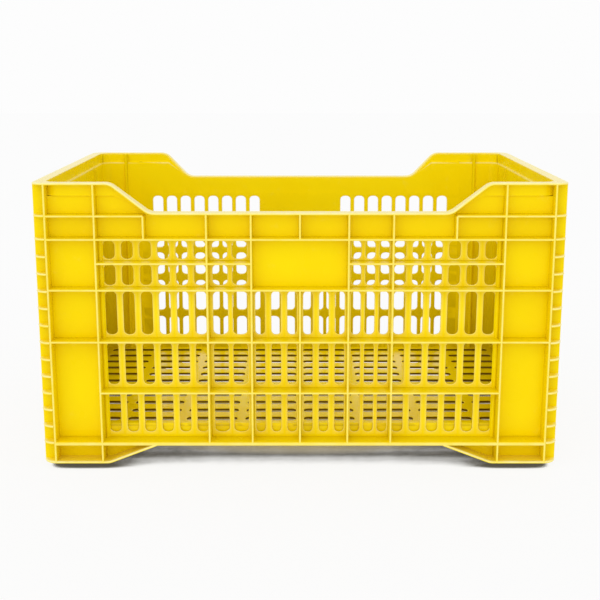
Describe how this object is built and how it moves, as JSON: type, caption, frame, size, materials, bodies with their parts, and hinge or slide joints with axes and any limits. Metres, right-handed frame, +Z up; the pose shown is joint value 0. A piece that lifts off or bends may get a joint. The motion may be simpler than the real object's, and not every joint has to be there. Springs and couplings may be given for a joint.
{
  "type": "plastic agricultural crate",
  "caption": "Stackable harvest crate with slotted leaning walls, outside ribs, a lowered rim on both long sides, closed corner posts and feet under arched sills.",
  "frame": {"origin": "middle of the footprint, on the ground under the foot pads", "axes": "+X along the long walls to the right of the front, -Y out of the front wall, +Z up"},
  "size_m": [0.6, 0.4, 0.336],
  "materials": {
    "moulded_body": "semi-gloss injection-moulded polyethylene, dyed through in yellow"
  },
  "bodies": {
    "root": {"back_label_panel": "moulded_body", "back_left_corner_ribs": "moulded_body", "back_left_corner_rim": "moulded_body", "back_left_end_skirt": "moulded_body", "back_left_foot": "moulded_body", "back_left_post": "moulded_body", "back_left_post_ribs": "moulded_body", "back_left_rim": "moulded_body", "back_left_shoulder": "moulded_body", "back_left_side_skirt": "moulded_body", "back_low_rim": "moulded_body", "back_rib_frame": "moulded_body", "back_right_corner_ribs": "moulded_body", "back_right_corner_rim": "moulded_body", "back_right_end_skirt": "moulded_body", "back_right_foot": "moulded_body", "back_right_post": "moulded_body", "back_right_post_ribs": "moulded_body", "back_right_rim": "moulded_body", "back_right_shoulder": "moulded_body", "back_right_side_skirt": "moulded_body", "back_upper_band": "moulded_body", "back_wall_lattice": "moulded_body", "floor_grid": "moulded_body", "front_label_panel": "moulded_body", "front_left_corner_ribs": "moulded_body", "front_left_corner_rim": "moulded_body", "front_left_end_skirt": "moulded_body", "front_left_foot": "moulded_body", "front_left_post": "moulded_body", "front_left_post_ribs": "moulded_body", "front_left_rim": "moulded_body", "front_left_shoulder": "moulded_body", "front_left_side_skirt": "moulded_body", "front_low_rim": "moulded_body", "front_rib_frame": "moulded_body", "front_right_corner_ribs": "moulded_body", "front_right_corner_rim": "moulded_body", "front_right_end_skirt": "moulded_body", "front_right_foot": "moulded_body", "front_right_post": "moulded_body", "front_right_post_ribs": "moulded_body", "front_right_rim": "moulded_body", "front_right_shoulder": "moulded_body", "front_right_side_skirt": "moulded_body", "front_upper_band": "moulded_body", "front_wall_lattice": "moulded_body", "left_end_rim": "moulded_body", "left_end_wall": "moulded_body", "left_handhold_lip": "moulded_body", "left_rib_frame": "moulded_body", "right_end_rim": "moulded_body", "right_end_wall": "moulded_body", "right_handhold_lip": "moulded_body", "right_rib_frame": "moulded_body"}
  },
  "joints": []
}
